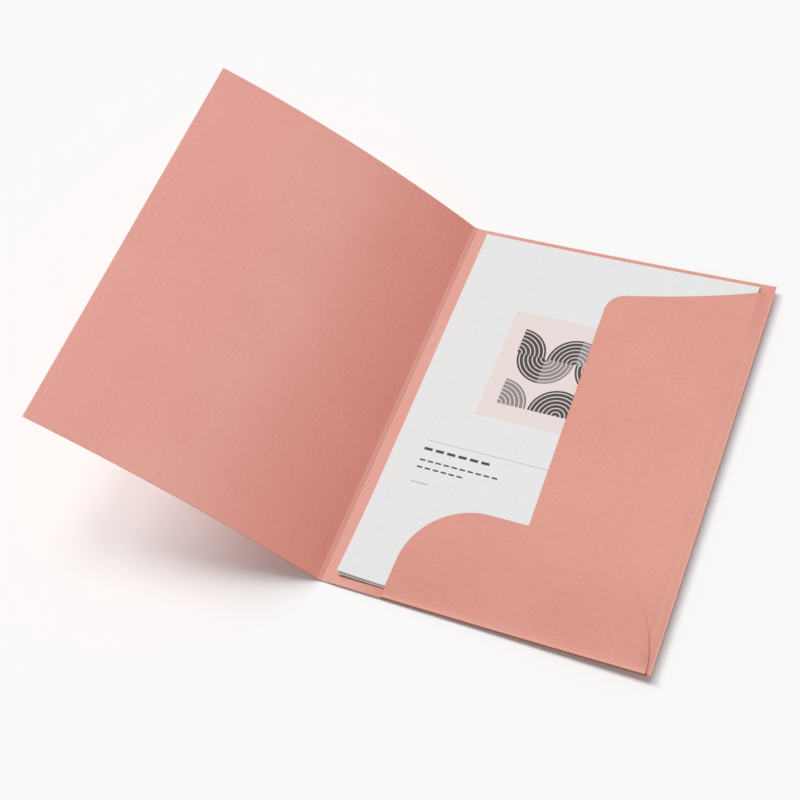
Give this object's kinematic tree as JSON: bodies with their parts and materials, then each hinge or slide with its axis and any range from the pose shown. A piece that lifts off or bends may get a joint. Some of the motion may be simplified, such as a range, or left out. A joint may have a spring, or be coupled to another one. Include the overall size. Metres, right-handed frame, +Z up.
{
  "type": "presentation folder",
  "caption": "Open card presentation folder with a raised front cover, a narrow spine and a corner pocket of two flaps holding loose A4 sheets.",
  "frame": {"origin": "middle of the back cover's flat underside, on the surface the folder lies on", "axes": "+X from the spine to the right-hand fold, +Y from the pocket's closed end to its open end, +Z up"},
  "size_m": [0.4139, 0.31, 0.1351],
  "materials": {
    "card": "matte uncoated salmon card, fine fibre grain",
    "card_creases": "pressed crease in matte salmon card",
    "glue": "dry pale adhesive",
    "sheets": "smooth matte white paper",
    "printed_sheet": null
  },
  "bodies": {
    "back_cover": {"back_cover": "card", "bottom_fold": "card", "bottom_flap": "card", "side_fold": "card", "side_flap": "card", "glue_strip": "glue", "back_crease": "card_creases"},
    "spine": {"spine": "card", "front_crease": "card_creases"},
    "front_cover": {"front_cover": "card"},
    "top_sheet": {"top_sheet": "printed_sheet"},
    "sheet_stack": {"sheet_1": "sheets", "sheet_2": "sheets", "sheet_3": "sheets", "sheet_4": "sheets", "sheet_5": "sheets", "sheet_6": "sheets", "sheet_7": "sheets"}
  },
  "joints": [
    {"name": "back_crease_hinge", "type": "hinge", "parent": "back_cover", "child": "spine", "pos_m": [-0.115, 0, 0.0002], "axis": [0, 1, 0], "range_deg": [-20, 70]},
    {"name": "front_crease_hinge", "type": "hinge", "parent": "spine", "child": "front_cover", "pos_m": [-0.11843, 0, 0.00145], "axis": [0, 1, 0], "range_deg": [-16.5, 66]},
    {"name": "top_sheet_slide", "type": "slide", "parent": "back_cover", "child": "top_sheet", "axis": [0, 1, 0], "range_m": [0, 0.305]},
    {"name": "sheet_stack_slide", "type": "slide", "parent": "back_cover", "child": "sheet_stack", "axis": [0, 1, 0], "range_m": [0, 0.305]}
  ]
}
